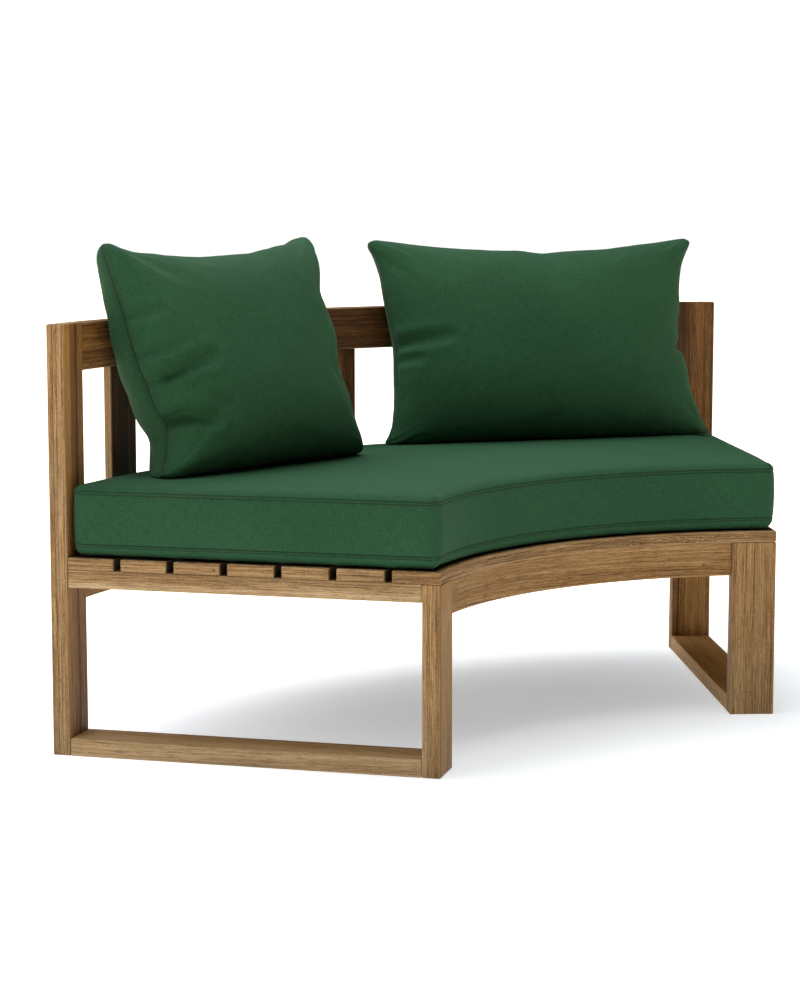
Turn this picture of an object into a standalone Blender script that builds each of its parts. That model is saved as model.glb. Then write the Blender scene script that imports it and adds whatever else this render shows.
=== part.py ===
"""Curved outdoor bench: one module of a ring of seats, with a seat cushion and two loose pillows.

Units are metres and +Z is up. The sitter faces -Y. The origin is on the floor under the middle of
the module's box. The ring's centre lies on the Y axis in front of the bench. A place on the bench
is given in the frame of one angle of the ring: the angle from +Y towards +X, a length along the
arc's tangent there, a length outwards from the ring's centre, and a height.
"""

import math

import bmesh
import bpy
from mathutils import Matrix, Vector
from mathutils.bvhtree import BVHTree

# Plan
sector_deg = 72.0
inner_radius = 0.6575
board_count = 7
board_width = 0.0795
board_gap = 0.0115

# Heights
seat_frame_height = 0.309
back_height = 0.7075

# Timber sections
leg_thickness = 0.0305
leg_width = 0.078
frame_rail_height = 0.0295
board_thickness = 0.0195
apron_thickness = 0.020
apron_height = 0.060
bearer_width = 0.030
bearer_height = 0.045
top_rail_height = 0.0785
upright_width = 0.0795
upright_thickness = 0.015

# Places around the ring
bearer_angles_deg = (-12.0, 12.0)
upright_angles_deg = (-25.75, 0.0, 25.75)

# Fits and edges
fit_gap = 0.0003
cut_overrun = 0.005
end_cut_depth = 0.120
weld_distance = 0.00003
eased_edge = 0.0015
arc_steps = 24

# Tenons: length out of the shoulder, thickness and width
rail_tenon_length = 0.020
rail_tenon_thickness = 0.010
rail_tenon_width = 0.030
apron_tenon_length = 0.020
apron_tenon_thickness = 0.010
apron_tenon_height = 0.036
top_rail_tenon_length = 0.030
top_rail_tenon_thickness = 0.012
top_rail_tenon_height = 0.050
bearer_tenon_length = 0.010
bearer_tenon_width = 0.012
bearer_tenon_height = 0.016
bearer_tenon_shoulder = 0.003
upright_tenon_length = 0.020
upright_tenon_thickness = 0.007
upright_tenon_width = 0.050

# Screws that hold the seat boards from below
screw_bite = 0.0105
screw_radius = 0.0022
screw_head_radius = 0.0042
screw_head_height = 0.003
screw_sides = 6

# Seat cushion
cushion_thickness = 0.120
cushion_crown = 0.004
cushion_front_setback = 0.004
cushion_end_setback = 0.005
cushion_back_setback = 0.0085
cushion_rim = 0.014
cushion_rim_round_share = 0.3
cushion_corner_radius = 0.012
cushion_low_seam = 0.0205
cushion_high_seam = 0.1065
cushion_seam_depth = 0.0015
cushion_cells = (22, 10)

# Square pillow: corner to corner, and depths of its two halves from the seam
square_width = 0.5235
square_height = 0.415
square_front_depth = 0.092
square_back_depth = 0.100
square_place_deg = -19.3
square_yaw_deg = 12.5
square_lean_deg = 18.5
square_roll_deg = 0.4

# Lumbar pillow: corner to corner, and depths of its two halves from the seam
lumbar_width = 0.694
lumbar_height = 0.403
lumbar_front_depth = 0.0775
lumbar_back_depth = 0.0785
lumbar_place_deg = 18.0
lumbar_yaw_deg = -18.9
lumbar_lean_deg = 14.6
lumbar_roll_deg = 0.0

# Seams of the pillows: how far each edge draws in, as a share of half the pillow's width or height,
# at places along the edge from its left or lower end to the other one
seam_places = (-1.0, -0.7, -0.35, 0.0, 0.35, 0.7, 1.0)
square_draws = {
    "left": (0.0, 0.185, 0.145, 0.09, 0.073, 0.042, 0.0),
    "right": (0.0, 0.106, 0.149, 0.125, 0.105, 0.005, 0.0),
    "top": (0.0, 0.134, 0.189, 0.175, 0.163, 0.104, 0.0),
    "bottom": (0.0, 0.005, 0.008, 0.01, 0.008, 0.005, 0.0),
}
lumbar_draws = {
    "left": (0.0, 0.092, 0.124, 0.124, 0.110, 0.081, 0.0),
    "right": (0.0, 0.095, 0.133, 0.170, 0.133, 0.081, 0.0),
    "top": (0.0, 0.061, 0.120, 0.150, 0.134, 0.063, 0.0),
    "bottom": (0.0, 0.003, 0.005, 0.015, 0.005, 0.003, 0.0),
}

# Both pillows
pillow_seam_thickness = 0.004
pillow_corner_round_share = 0.035
pillow_corner_sharpness = 8
pillow_flat_depth = 0.012
pillow_sag_share = 0.2
pillow_front_fullness = 2.5
pillow_back_fullness = 3.3
pillow_cells = 18
pillow_start_clearance = 0.16
settling_room = 0.2
settling_step = 0.004
settling_exactness_share = 0.05
settling_rounds = 3

# Sizes that follow from the ones above
half_angle = math.radians(sector_deg) / 2
board_pitch = board_width + board_gap
boards_depth = board_count * board_width + (board_count - 1) * board_gap
frame_depth = boards_depth + fit_gap + leg_thickness
outer_radius = inner_radius + frame_depth
front_centre_radius = math.hypot(inner_radius + leg_thickness / 2, leg_width)
back_centre_radius = math.hypot(outer_radius - leg_thickness / 2, leg_width)
back_face_radius = back_centre_radius + leg_thickness / 2
ring_centre_y = -(back_face_radius + inner_radius * math.cos(half_angle)) / 2
boards_bottom = seat_frame_height + fit_gap
boards_top = boards_bottom + board_thickness
cushion_bottom = boards_top + fit_gap
rail_length = frame_depth - 2 * (leg_thickness + fit_gap)
rail_centre_radius = inner_radius + frame_depth / 2
half_step = half_angle / arc_steps
screw_length = frame_rail_height + screw_bite
bearer_drop = max(bearer_height - frame_rail_height, 0)

# Wood and cloth colours, metal
TEAK = (0.36, 0.23, 0.125)
TEAK_LIGHT = (0.42, 0.28, 0.16)
TEAK_DARK = (0.27, 0.165, 0.085)
GREEN_CLOTH = (0.035, 0.12, 0.055)
STEEL = (0.62, 0.62, 0.63)


def collection(name):
    """A new collection in the scene."""
    made = bpy.data.collections.new(name)
    bpy.context.scene.collection.children.link(made)
    return made


def material(name, colour, roughness, metallic=0.0):
    """A plain material for one piece."""
    made = bpy.data.materials.new(name)
    made.use_nodes = True
    surface = made.node_tree.nodes["Principled BSDF"]
    surface.inputs["Base Color"].default_value = (*colour, 1.0)
    surface.inputs["Roughness"].default_value = roughness
    surface.inputs["Metallic"].default_value = metallic
    return made


def add_object(name, mesh_data, home):
    """A mesh object in the collection called home."""
    made = bpy.data.objects.new(name, mesh_data)
    home.objects.link(made)
    return made


def finish(piece, colour, roughness=0.7, metallic=0.0):
    """Gives a piece its own material."""
    piece.data.materials.append(material(piece.name, colour, roughness, metallic))
    return piece


def ring_point(angle, along, outwards, height):
    """World place of a point given in the frame of one angle of the ring."""
    turn = Matrix.Rotation(-angle, 4, "Z")
    return Matrix.Translation((0, ring_centre_y, 0)) @ turn @ Vector((along, outwards, height))


def ease(piece, width=eased_edge):
    """Sanded arrises on the sharp edges of a timber."""
    bevel = piece.modifiers.new("eased edges", "BEVEL")
    bevel.width = width
    bevel.segments = 1
    bevel.limit_method = "ANGLE"
    bevel.angle_limit = math.radians(40)
    return piece


def boolean(piece, tool, operation):
    """Cuts a tool from a piece, or joins it to it."""
    change = piece.modifiers.new(tool.name, "BOOLEAN")
    change.operation = operation
    change.solver = "EXACT"
    change.object = tool


def box(name, home, angle, centre, size):
    """A box of sides (along, outwards, up) around a centre in the frame of one angle."""
    shape = bmesh.new()
    bmesh.ops.create_cube(shape, size=1)
    bmesh.ops.scale(shape, vec=size, verts=shape.verts)
    mesh_data = bpy.data.meshes.new(name)
    shape.to_mesh(mesh_data)
    shape.free()
    made = add_object(name, mesh_data, home)
    made.location = ring_point(angle, *centre)
    made.rotation_euler = (0, 0, -angle)
    return made


def tool_box(name, angle, centre, size):
    """A box that only cuts or joins other pieces."""
    tool = box(name, tools, angle, centre, size)
    tool.hide_render = True
    tool.display_type = "WIRE"
    return tool


def timber(name, angle, centre, size, colour):
    """A straight timber with eased edges."""
    return finish(ease(box(name, parts, angle, centre, size)), colour)


def arc_timber(name, mean_radius, thickness, bottom, height, colour):
    """A timber bent along the ring, from one end plane to the other."""
    shape = bmesh.new()
    bmesh.ops.create_grid(shape, x_segments=1, y_segments=1, size=0.5)
    bmesh.ops.scale(shape, vec=(thickness, height, 1), verts=shape.verts)
    upright = Matrix.Rotation(math.pi / 2, 4, "X")
    sideways = Matrix.Rotation(math.pi / 2, 4, "Z")
    bmesh.ops.transform(shape, matrix=sideways @ upright, verts=shape.verts)
    middle = Vector((0, mean_radius, bottom + height / 2))
    bmesh.ops.translate(shape, vec=middle, verts=shape.verts)
    bmesh.ops.rotate(shape, matrix=Matrix.Rotation(half_angle, 3, "Z"), verts=shape.verts)
    bmesh.ops.spin(shape, geom=shape.verts[:] + shape.edges[:] + shape.faces[:], axis=(0, 0, 1),
                   cent=(0, 0, 0), angle=-2 * half_angle, steps=arc_steps, use_merge=False)
    bmesh.ops.recalc_face_normals(shape, faces=shape.faces)
    mesh_data = bpy.data.meshes.new(name)
    shape.to_mesh(mesh_data)
    shape.free()
    made = add_object(name, mesh_data, parts)
    made.location = (0, ring_centre_y, 0)
    return finish(ease(made), colour)


def grown(size, margin):
    """A size with a margin on every side."""
    return [length + 2 * margin for length in size]


def tenon_joint(host, socket, angle, centre, size, axis, sense):
    """A tenon on the host, in a mortise of the socket.

    centre and size are those of the part that stands out of the host's shoulder. axis is 0, 1 or 2
    for along, outwards or up, and sense is the way the tenon points on it.
    """
    label = host.name + " in " + socket.name
    rooted = list(size)
    rooted[axis] += cut_overrun
    root_centre = list(centre)
    root_centre[axis] -= sense * cut_overrun / 2
    boolean(host, tool_box("tenon of " + label, angle, root_centre, rooted), "UNION")
    mortise = tool_box("mortise of " + label, angle, root_centre, grown(rooted, fit_gap))
    boolean(socket, mortise, "DIFFERENCE")


def trim_ends(arc, mean_radius, height_centre, height):
    """Cuts both ends of a bent timber square to the legs that it meets."""
    for side in (-1, 1):
        reach = leg_width + fit_gap
        centre = (-side * (reach - cut_overrun) / 2, mean_radius, height_centre)
        size = (reach + cut_overrun, end_cut_depth, height + 2 * cut_overrun)
        cutter = tool_box(arc.name + " end cut", side * half_angle, centre, size)
        boolean(arc, cutter, "DIFFERENCE")


def turned(name, profile, sides):
    """A closed turned mesh around Z from a profile of (radius, height) that starts and ends on Z."""
    shape = bmesh.new()
    points = [shape.verts.new((radius, 0, height)) for radius, height in profile]
    edges = [shape.edges.new(pair) for pair in zip(points, points[1:])]
    bmesh.ops.spin(shape, geom=points + edges, axis=(0, 0, 1), cent=(0, 0, 0), angle=math.tau,
                   steps=sides, use_merge=True)
    bmesh.ops.remove_doubles(shape, verts=shape.verts, dist=weld_distance)
    bmesh.ops.recalc_face_normals(shape, faces=shape.faces)
    mesh_data = bpy.data.meshes.new(name)
    shape.to_mesh(mesh_data)
    shape.free()
    return mesh_data


def scattered_tool(name, single, places):
    """A tool that holds a copy of a mesh at each place."""
    copies = bmesh.new()
    for place in places:
        before = len(copies.verts)
        copies.from_mesh(single)
        copies.verts.ensure_lookup_table()
        bmesh.ops.translate(copies, vec=place, verts=copies.verts[before:])
    together = bpy.data.meshes.new(name)
    copies.to_mesh(together)
    copies.free()
    tool = add_object(name, together, tools)
    tool.hide_render = True
    tool.display_type = "WIRE"
    return tool


def gridded_cube(cells):
    """A unit cube from -1 to 1 with its faces divided into the given cells along X, Y and Z."""
    shape = bmesh.new()
    bmesh.ops.create_cube(shape, size=2)
    for axis, count in enumerate(cells):
        along_axis = [edge for edge in shape.edges
                      if abs(edge.verts[0].co[axis] - edge.verts[1].co[axis]) > 1]
        if count > 1:
            bmesh.ops.subdivide_edges(shape, edges=along_axis, cuts=count - 1, use_grid_fill=True)
    return shape


def cell_index(coordinate, count):
    """Which grid line, from 0 to count, a coordinate from -1 to 1 lies on."""
    return round((coordinate + 1) / 2 * count)


def rounded_lines(low, high, corner, count):
    """Grid lines from low to high, the first and the last one corner wide, the rest even."""
    inner = [low + corner + (high - low - 2 * corner) * i / (count - 2) for i in range(count - 1)]
    return [low] + inner + [high]


def smooth(piece):
    """Shades a soft piece smooth."""
    piece.data.shade_smooth()
    return piece


for old in list(bpy.data.objects):
    bpy.data.objects.remove(old, do_unlink=True)
parts = collection("curved_bench")
tools = collection("tools")

# End frames: a front leg, a rear post, a floor rail and a side rail
front_legs = {}
rear_posts = {}
side_rails = {}
for side, label in ((-1, "left"), (1, "right")):
    angle = side * half_angle
    along = -side * leg_width / 2
    front_legs[side] = timber(
        label + "_front_leg", angle,
        (along, inner_radius + leg_thickness / 2, seat_frame_height / 2),
        (leg_width, leg_thickness, seat_frame_height), TEAK)
    rear_posts[side] = timber(
        label + "_rear_post", angle,
        (along, outer_radius - leg_thickness / 2, back_height / 2),
        (leg_width, leg_thickness, back_height), TEAK_LIGHT)
    bottom_rail = timber(
        label + "_bottom_rail", angle,
        (along, rail_centre_radius, frame_rail_height / 2),
        (leg_width, rail_length, frame_rail_height), TEAK_LIGHT)
    side_rails[side] = timber(
        label + "_side_rail", angle,
        (along, rail_centre_radius, seat_frame_height - frame_rail_height / 2),
        (leg_width, rail_length, frame_rail_height), TEAK_LIGHT)
    for rail, height in ((bottom_rail, frame_rail_height / 2),
                         (side_rails[side], seat_frame_height - frame_rail_height / 2)):
        for socket, sense in ((front_legs[side], -1), (rear_posts[side], 1)):
            tenon_centre = rail_centre_radius + sense * (rail_length + rail_tenon_length) / 2
            tenon_joint(rail, socket, angle, (along, tenon_centre, height),
                        (rail_tenon_width, rail_tenon_length, rail_tenon_thickness), 1, sense)

# Aprons: bent boards between the legs, centred on them
apron_bottom = seat_frame_height - apron_height
apron_middle = seat_frame_height - apron_height / 2
aprons = {}
for label, mean_radius, leg_middle, legs in (
        ("front_apron", front_centre_radius, inner_radius + leg_thickness / 2, front_legs),
        ("rear_apron", back_centre_radius, outer_radius - leg_thickness / 2, rear_posts)):
    apron = arc_timber(label, mean_radius, apron_thickness, apron_bottom, apron_height, TEAK)
    trim_ends(apron, mean_radius, apron_middle, apron_height)
    for side, leg in legs.items():
        tenon_along = -side * (leg_width + fit_gap - apron_tenon_length / 2)
        tenon_joint(apron, leg, side * half_angle, (tenon_along, leg_middle, apron_middle),
                    (apron_tenon_length, apron_tenon_thickness, apron_tenon_height), 0, side)
    aprons[label] = apron

# Top back rail: bent, flush with the fronts and backs of the posts
top_rail_middle = back_height - top_rail_height / 2
top_rail = arc_timber("top_back_rail", back_centre_radius, leg_thickness,
                      back_height - top_rail_height, top_rail_height, TEAK_DARK)
trim_ends(top_rail, back_centre_radius, top_rail_middle, top_rail_height)
for side, post in rear_posts.items():
    tenon_along = -side * (leg_width + fit_gap - top_rail_tenon_length / 2)
    tenon_joint(top_rail, post, side * half_angle,
                (tenon_along, outer_radius - leg_thickness / 2, top_rail_middle),
                (top_rail_tenon_length, top_rail_tenon_thickness, top_rail_tenon_height), 0, side)

# Back uprights: thin boards from the rear apron to the top rail
upright_bottom = seat_frame_height + fit_gap
upright_top = back_height - top_rail_height - fit_gap
for label, degrees in zip(("left", "middle", "right"), upright_angles_deg):
    angle = math.radians(degrees)
    upright = timber(
        label + "_back_upright", angle,
        (0, back_centre_radius, (upright_bottom + upright_top) / 2),
        (upright_width, upright_thickness, upright_top - upright_bottom), TEAK_DARK)
    tenon_size = (upright_tenon_width, upright_tenon_thickness, upright_tenon_length)
    for socket, end, sense in ((aprons["rear_apron"], upright_bottom, -1), (top_rail, upright_top, 1)):
        tenon_height = end + sense * upright_tenon_length / 2
        tenon_joint(upright, socket, angle, (0, back_centre_radius, tenon_height), tenon_size, 2, sense)

# Bearers: radial timbers between the aprons, under the seat boards
flat_sag = back_centre_radius * (1 / math.cos(half_step) - 1)
bearer_start = front_centre_radius + apron_thickness / 2 + fit_gap
bearer_end = back_centre_radius - apron_thickness / 2 - fit_gap - flat_sag
bearer_tenon_middle = (seat_frame_height - bearer_height + bearer_tenon_shoulder
                       + bearer_tenon_height / 2)
bearers = []
for label, degrees in zip(("left", "right"), bearer_angles_deg):
    angle = math.radians(degrees)
    bearer = timber(
        label + "_bearer", angle,
        (0, (bearer_start + bearer_end) / 2, seat_frame_height - bearer_height / 2),
        (bearer_width, bearer_end - bearer_start, bearer_height), TEAK)
    tenon_size = (bearer_tenon_width, bearer_tenon_length, bearer_tenon_height)
    for apron_name, end, sense in (("front_apron", bearer_start, -1), ("rear_apron", bearer_end, 1)):
        tenon_place = (0, end + sense * bearer_tenon_length / 2, bearer_tenon_middle)
        tenon_joint(bearer, aprons[apron_name], angle, tenon_place, tenon_size, 1, sense)
    bearers.append(bearer)

# Seat boards: the front board and the boards behind it, flush with the end frames
boards = []
for i in range(board_count):
    mean_radius = inner_radius + i * board_pitch + board_width / 2
    label = "seat_board_%d" % i if i else "front_board"
    boards.append(arc_timber(label, mean_radius, board_width, boards_bottom, board_thickness,
                             TEAK_LIGHT if i % 2 else TEAK))

# Screws: one from below through each side rail and bearer into each board
head_level = seat_frame_height - frame_rail_height + fit_gap
screw_profile = (
    (0, 0),
    (screw_head_radius, 0),
    (screw_radius, screw_head_height),
    (screw_radius, screw_length - screw_radius),
    (0, screw_length),
)
hole_floor = -(bearer_drop + cut_overrun)
hole_profile = (
    (0, hole_floor),
    (screw_head_radius + fit_gap, hole_floor),
    (screw_head_radius + fit_gap, 0),
    (screw_radius + fit_gap, screw_head_height),
    (screw_radius + fit_gap, screw_length + fit_gap),
    (0, screw_length + fit_gap),
)
screw_mesh = turned("seat_screw", screw_profile, screw_sides)
screw_mesh.materials.append(material("seat_screw", STEEL, 0.35, 1.0))
screw_places = {}
for i in range(board_count):
    mean_radius = inner_radius + i * board_pitch + board_width / 2
    rail_reach = math.sqrt(mean_radius ** 2 - (leg_width / 2) ** 2)
    for side, label in ((-1, "left_rail"), (1, "right_rail")):
        place = ring_point(side * half_angle, -side * leg_width / 2, rail_reach, head_level)
        screw_places["seat_screw_%d_%s" % (i, label)] = place
    for degrees, label in zip(bearer_angles_deg, ("left_bearer", "right_bearer")):
        place = ring_point(math.radians(degrees), 0, mean_radius, head_level)
        screw_places["seat_screw_%d_%s" % (i, label)] = place
for label, place in screw_places.items():
    add_object(label, screw_mesh, parts).location = place
hole_mesh = turned("screw hole", hole_profile, screw_sides)
screw_holes = scattered_tool("screw holes", hole_mesh, screw_places.values())
for piece in list(side_rails.values()) + bearers + boards:
    boolean(piece, screw_holes, "DIFFERENCE")


def seat_cushion():
    """The boxed seat cushion: crowned top, sides drawn in at two seams, rounded rims and corners."""
    rim = cushion_rim
    eased = rim * cushion_rim_round_share
    top = cushion_thickness
    # Height over the boards and inset of each ring of the sides, from the bottom up
    rings = (
        (0, rim),
        (eased, eased),
        (cushion_low_seam, cushion_seam_depth),
        (cushion_low_seam + rim, 0),
        (top / 2, -cushion_seam_depth),
        (cushion_high_seam - rim, 0),
        (cushion_high_seam, cushion_seam_depth),
        (top - eased, eased),
        (top, rim),
    )
    around, across = cushion_cells
    levels = len(rings) - 1
    low_radius = inner_radius + cushion_front_setback
    high_radius = outer_radius - leg_thickness - cushion_back_setback
    corner_pull = cushion_corner_radius * (1 - math.sqrt(0.5))
    shape = gridded_cube((around, across, levels))
    for vert in shape.verts:
        i = cell_index(vert.co.x, around)
        j = cell_index(vert.co.y, across)
        k = cell_index(vert.co.z, levels)
        height, inset = rings[k]
        pull = corner_pull if i in (0, around) and j in (0, across) else 0
        radii = rounded_lines(low_radius + inset, high_radius - inset, cushion_corner_radius, across)
        radius = radii[j] + pull * (1 if j == 0 else -1)
        rim_angle = half_angle - math.asin((cushion_end_setback + inset + pull) / radius)
        corner_angle = cushion_corner_radius / radius
        angle = rounded_lines(-rim_angle, rim_angle, corner_angle, around)[i]
        if k == levels:
            across_share = 2 * j / across - 1
            around_share = 2 * i / around - 1
            height += cushion_crown * math.sqrt((1 - across_share ** 2) * (1 - around_share ** 2))
        vert.co = (radius * math.sin(angle), radius * math.cos(angle), cushion_bottom + height)
    mesh_data = bpy.data.meshes.new("seat_cushion")
    shape.to_mesh(mesh_data)
    shape.free()
    made = add_object("seat_cushion", mesh_data, parts)
    made.location = (0, ring_centre_y, 0)
    return finish(smooth(made), GREEN_CLOTH, 0.9)


def seam_draw(draws, share):
    """The draw at a share of a seam, on a smooth curve through the draws at the seam's places."""
    last = len(seam_places) - 1
    i = min(sum(place < share for place in seam_places[1:]), last - 1)
    slopes = []
    for j in (i, i + 1):
        before = max(j - 1, 0)
        after = min(j + 1, last)
        slopes.append((draws[after] - draws[before]) / (seam_places[after] - seam_places[before]))
    span = seam_places[i + 1] - seam_places[i]
    t = (share - seam_places[i]) / span
    ease_in = t ** 2 * (3 - 2 * t)
    start_bend = t * (1 - t) ** 2 * span * slopes[0]
    end_bend = t ** 2 * (t - 1) * span * slopes[1]
    return draws[i] + (draws[i + 1] - draws[i]) * ease_in + start_bend + end_bend


def pillow(name, width, height, depths, draws, place_deg, turns_deg):
    """A loose pillow: two plump panels joined by a seam, with its edges drawn in between the corners.

    depths are those of the front and the back half. turns_deg holds its yaw, its lean backwards and
    its roll. It is flat where it stands.
    """
    yaw, lean, roll = (math.radians(turn) for turn in turns_deg)
    turned_place = (Matrix.Rotation(yaw, 3, "Z") @ Matrix.Rotation(-lean, 3, "X")
                    @ Matrix.Rotation(-roll, 3, "Y"))
    shape = gridded_cube((pillow_cells, 1, pillow_cells))
    half_seam = pillow_seam_thickness / 2
    for vert in shape.verts:
        share_x = math.sin(math.pi / 2 * vert.co.x)
        share_z = math.sin(math.pi / 2 * vert.co.z)
        face = 1 if vert.co.y > 0 else -1
        depth = depths[1] if face > 0 else depths[0]
        fullness = pillow_back_fullness if face > 0 else pillow_front_fullness
        full_x = 1 - min(abs(share_x), 1) ** fullness
        full_z = 1 - min(abs(share_z), 1) ** fullness
        plump = (full_x * full_z) ** (1 / fullness) * (1 - pillow_sag_share * share_z)
        left = seam_draw(draws["left"], share_z) - 1
        right = 1 - seam_draw(draws["right"], share_z)
        low = seam_draw(draws["bottom"], share_x) - 1
        high = 1 - seam_draw(draws["top"], share_x)
        rounding = 1 - pillow_corner_round_share * (share_x * share_z) ** pillow_corner_sharpness
        vert.co = (
            width / 2 * rounding * (left + (right - left) * (share_x + 1) / 2),
            face * (half_seam + (depth - half_seam) * plump),
            height / 2 * rounding * (low + (high - low) * (share_z + 1) / 2),
        )
    bmesh.ops.rotate(shape, matrix=turned_place, verts=shape.verts)
    standing_level = min(vert.co.z for vert in shape.verts) + pillow_flat_depth
    for vert in shape.verts:
        vert.co.z = max(vert.co.z, standing_level)
    mesh_data = bpy.data.meshes.new(name)
    shape.to_mesh(mesh_data)
    shape.free()
    made = add_object(name, mesh_data, parts)
    start_radius = outer_radius - leg_thickness - pillow_start_clearance
    start_height = cushion_bottom + cushion_thickness + cushion_crown + height / 2
    made.location = ring_point(math.radians(place_deg), 0, start_radius, start_height)
    return finish(smooth(made), GREEN_CLOTH, 0.9)


def surface(piece):
    """The vertices and faces of a piece as it shows, in world space."""
    depsgraph = bpy.context.evaluated_depsgraph_get()
    evaluated = piece.evaluated_get(depsgraph)
    mesh_data = evaluated.to_mesh()
    points = [evaluated.matrix_world @ vert.co for vert in mesh_data.vertices]
    faces = [tuple(face.vertices) for face in mesh_data.polygons]
    evaluated.to_mesh_clear()
    return points, faces


def settle(piece, direction, others):
    """Backs a piece off, then slides it in a direction until it almost rests on the others."""
    points, faces = surface(piece)
    trees = [BVHTree.FromPolygons(*surface(other)) for other in others]

    def meets(way):
        moved = BVHTree.FromPolygons([point + direction * way for point in points], faces)
        return any(moved.overlap(tree) for tree in trees)

    way = -settling_room
    step = settling_step
    while way < settling_room and not meets(way + step):
        way += step
    while step > fit_gap * settling_exactness_share:
        step /= 2
        if not meets(way + step):
            way += step
    piece.location += direction * (way - fit_gap)
    bpy.context.view_layer.update()


# Soft pieces: the cushion lies on the boards, the pillows stand on it and lean on the top rail
cushion = seat_cushion()
square_pillow = pillow("square_pillow", square_width, square_height,
                       (square_front_depth, square_back_depth), square_draws, square_place_deg,
                       (square_yaw_deg, square_lean_deg, square_roll_deg))
lumbar_pillow = pillow("lumbar_pillow", lumbar_width, lumbar_height,
                       (lumbar_front_depth, lumbar_back_depth), lumbar_draws, lumbar_place_deg,
                       (lumbar_yaw_deg, lumbar_lean_deg, lumbar_roll_deg))
bpy.context.view_layer.update()
down = Vector((0, 0, -1))
for piece, place_deg in ((square_pillow, square_place_deg), (lumbar_pillow, lumbar_place_deg)):
    angle = math.radians(place_deg)
    backwards = Vector((math.sin(angle), math.cos(angle), 0))
    for _ in range(settling_rounds):
        settle(piece, down, [cushion])
        settle(piece, backwards, [top_rail, *rear_posts.values()])
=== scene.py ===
"""Looks of a curved outdoor bench module: weathered teak, green outdoor fabric, a boxed seat cushion
and two loose pillows, on a pale studio floor.

Units are metres and +Z is up. The sitter faces -Y, towards the centre of the ring that the bench is a
part of. A place on the bench is often given in the frame of one angle of the ring: along the arc's
tangent, outwards from the ring's centre, and up.
"""

import math

import bmesh
import bpy
from mathutils import Matrix, Vector
from mathutils import noise as blender_noise


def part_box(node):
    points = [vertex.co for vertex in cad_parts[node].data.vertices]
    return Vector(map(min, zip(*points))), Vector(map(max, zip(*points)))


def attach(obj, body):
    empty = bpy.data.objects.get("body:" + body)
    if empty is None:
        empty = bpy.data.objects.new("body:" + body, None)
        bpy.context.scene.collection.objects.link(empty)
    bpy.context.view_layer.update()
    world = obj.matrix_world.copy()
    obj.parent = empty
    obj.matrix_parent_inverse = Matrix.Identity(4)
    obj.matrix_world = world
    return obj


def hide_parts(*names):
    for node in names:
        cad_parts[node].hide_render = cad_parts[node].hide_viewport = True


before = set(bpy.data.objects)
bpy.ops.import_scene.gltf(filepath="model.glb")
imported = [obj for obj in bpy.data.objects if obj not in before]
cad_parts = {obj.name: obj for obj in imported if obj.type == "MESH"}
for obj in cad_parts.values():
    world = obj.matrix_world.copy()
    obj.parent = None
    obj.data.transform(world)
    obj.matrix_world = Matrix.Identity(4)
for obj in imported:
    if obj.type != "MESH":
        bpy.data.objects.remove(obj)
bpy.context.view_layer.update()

# Plan of the bench
ring_centre = Vector((0, -0.92403, 0))
half_angle = math.radians(36)
upright_angle = math.radians(25.75)
bearer_angle = math.radians(12)

# Camera, from a fit to the timber frame's corners in the photograph
camera_place = (-2.7263, -3.1764, 0.8876)
camera_tilt_deg = 90 - 6.967
camera_turn_deg = -39.04
camera_lens = 84.97
camera_sensor = 36

# Light: power, size, place, aim and colour of each soft panel
light_panels = (
    (64, 3.2, (-0.3, 1.5, 3.0), (0, 0.3, 0.3), (1, 1, 1)),
    (74, 3.2, (-0.3, 0.2, 3.0), (0, 0.2, 0.3), (1, 1, 1)),
    (14, 2.0, (-0.3, -1.4, 2.9), (0, -0.2, 0.3), (1, 0.97, 0.92)),
    (21, 2.6, (-3.2, 0.4, 1.8), (0, 0, 0.4), (0.95, 0.99, 1.05)),
)
sky_fill = 0.03
sky_seen = 1.05
floor_glow_near = 0.42
floor_glow_far = 1.8
floor_glow_middle = (0.06, -0.03, 0)
floor_glow_reach = (0.15, 2.1)
floor_tints = ((0.915, 0.98, 1.04, 1), (1.12, 0.98, 0.83, 1))
floor_tint_reach = (0.6, 1.5)
floor_grey = (0.67, 0.665, 0.66, 1)
floor_radius = 30

# Teak: colours by lightness, stains, a painted highlight and painted shade, growth rings, the shifts that
# make timbers and staves unlike, and the distances over which marks fade, given from where they end to where
# they are full
teak_tones = (
    (0.0, (64, 40, 18)), (0.28, (106, 76, 41)), (0.52, (143, 112, 71)), (0.78, (169, 141, 101)),
    (1.0, (191, 166, 129)),
)
pore_brown = (54, 32, 15)
weathered_grey = (132, 118, 99)
warm_light = (255, 230, 178)
# Tan of the arrises: partly wear, partly a painted highlight
worn_and_highlight_tan = (190, 162, 120)
glue_brown = (60, 38, 20)
knot_brown = (62, 38, 20)
check_brown = (52, 32, 16)
# Dark brown of the painted shade in the seat boards' gaps and under the cushion's rim
painted_shade_brown = (36, 22, 11)
ring_width = 0.0068
grain_sway = 0.012
seed_shift = 0.83
stave_shift = (0.031, 1.37, 0)
# How slowly the painted shade along a timber's grain fades in
along_grain_shade_fade = 0.1
end_depth = 0.004
bent_seed = 40
# Reach of the arrises' lighter band, partly wear and partly a painted highlight
worn_and_highlight_reach = (0.0022, -0.0004)
joint_reach = (0.0009, 0.0002)
check_reach = (0.0013, 0.0004)
check_wander = 0.009
# Painted shade on the seat boards' tops: where it starts from their side and end and is full under the
# cushion's rim, then where it fades further in
rim_shade_reach = (0.002, 0.004, 0.009)
rim_shade_fade_reach = (0.03, 0.03, 0.07)

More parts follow.
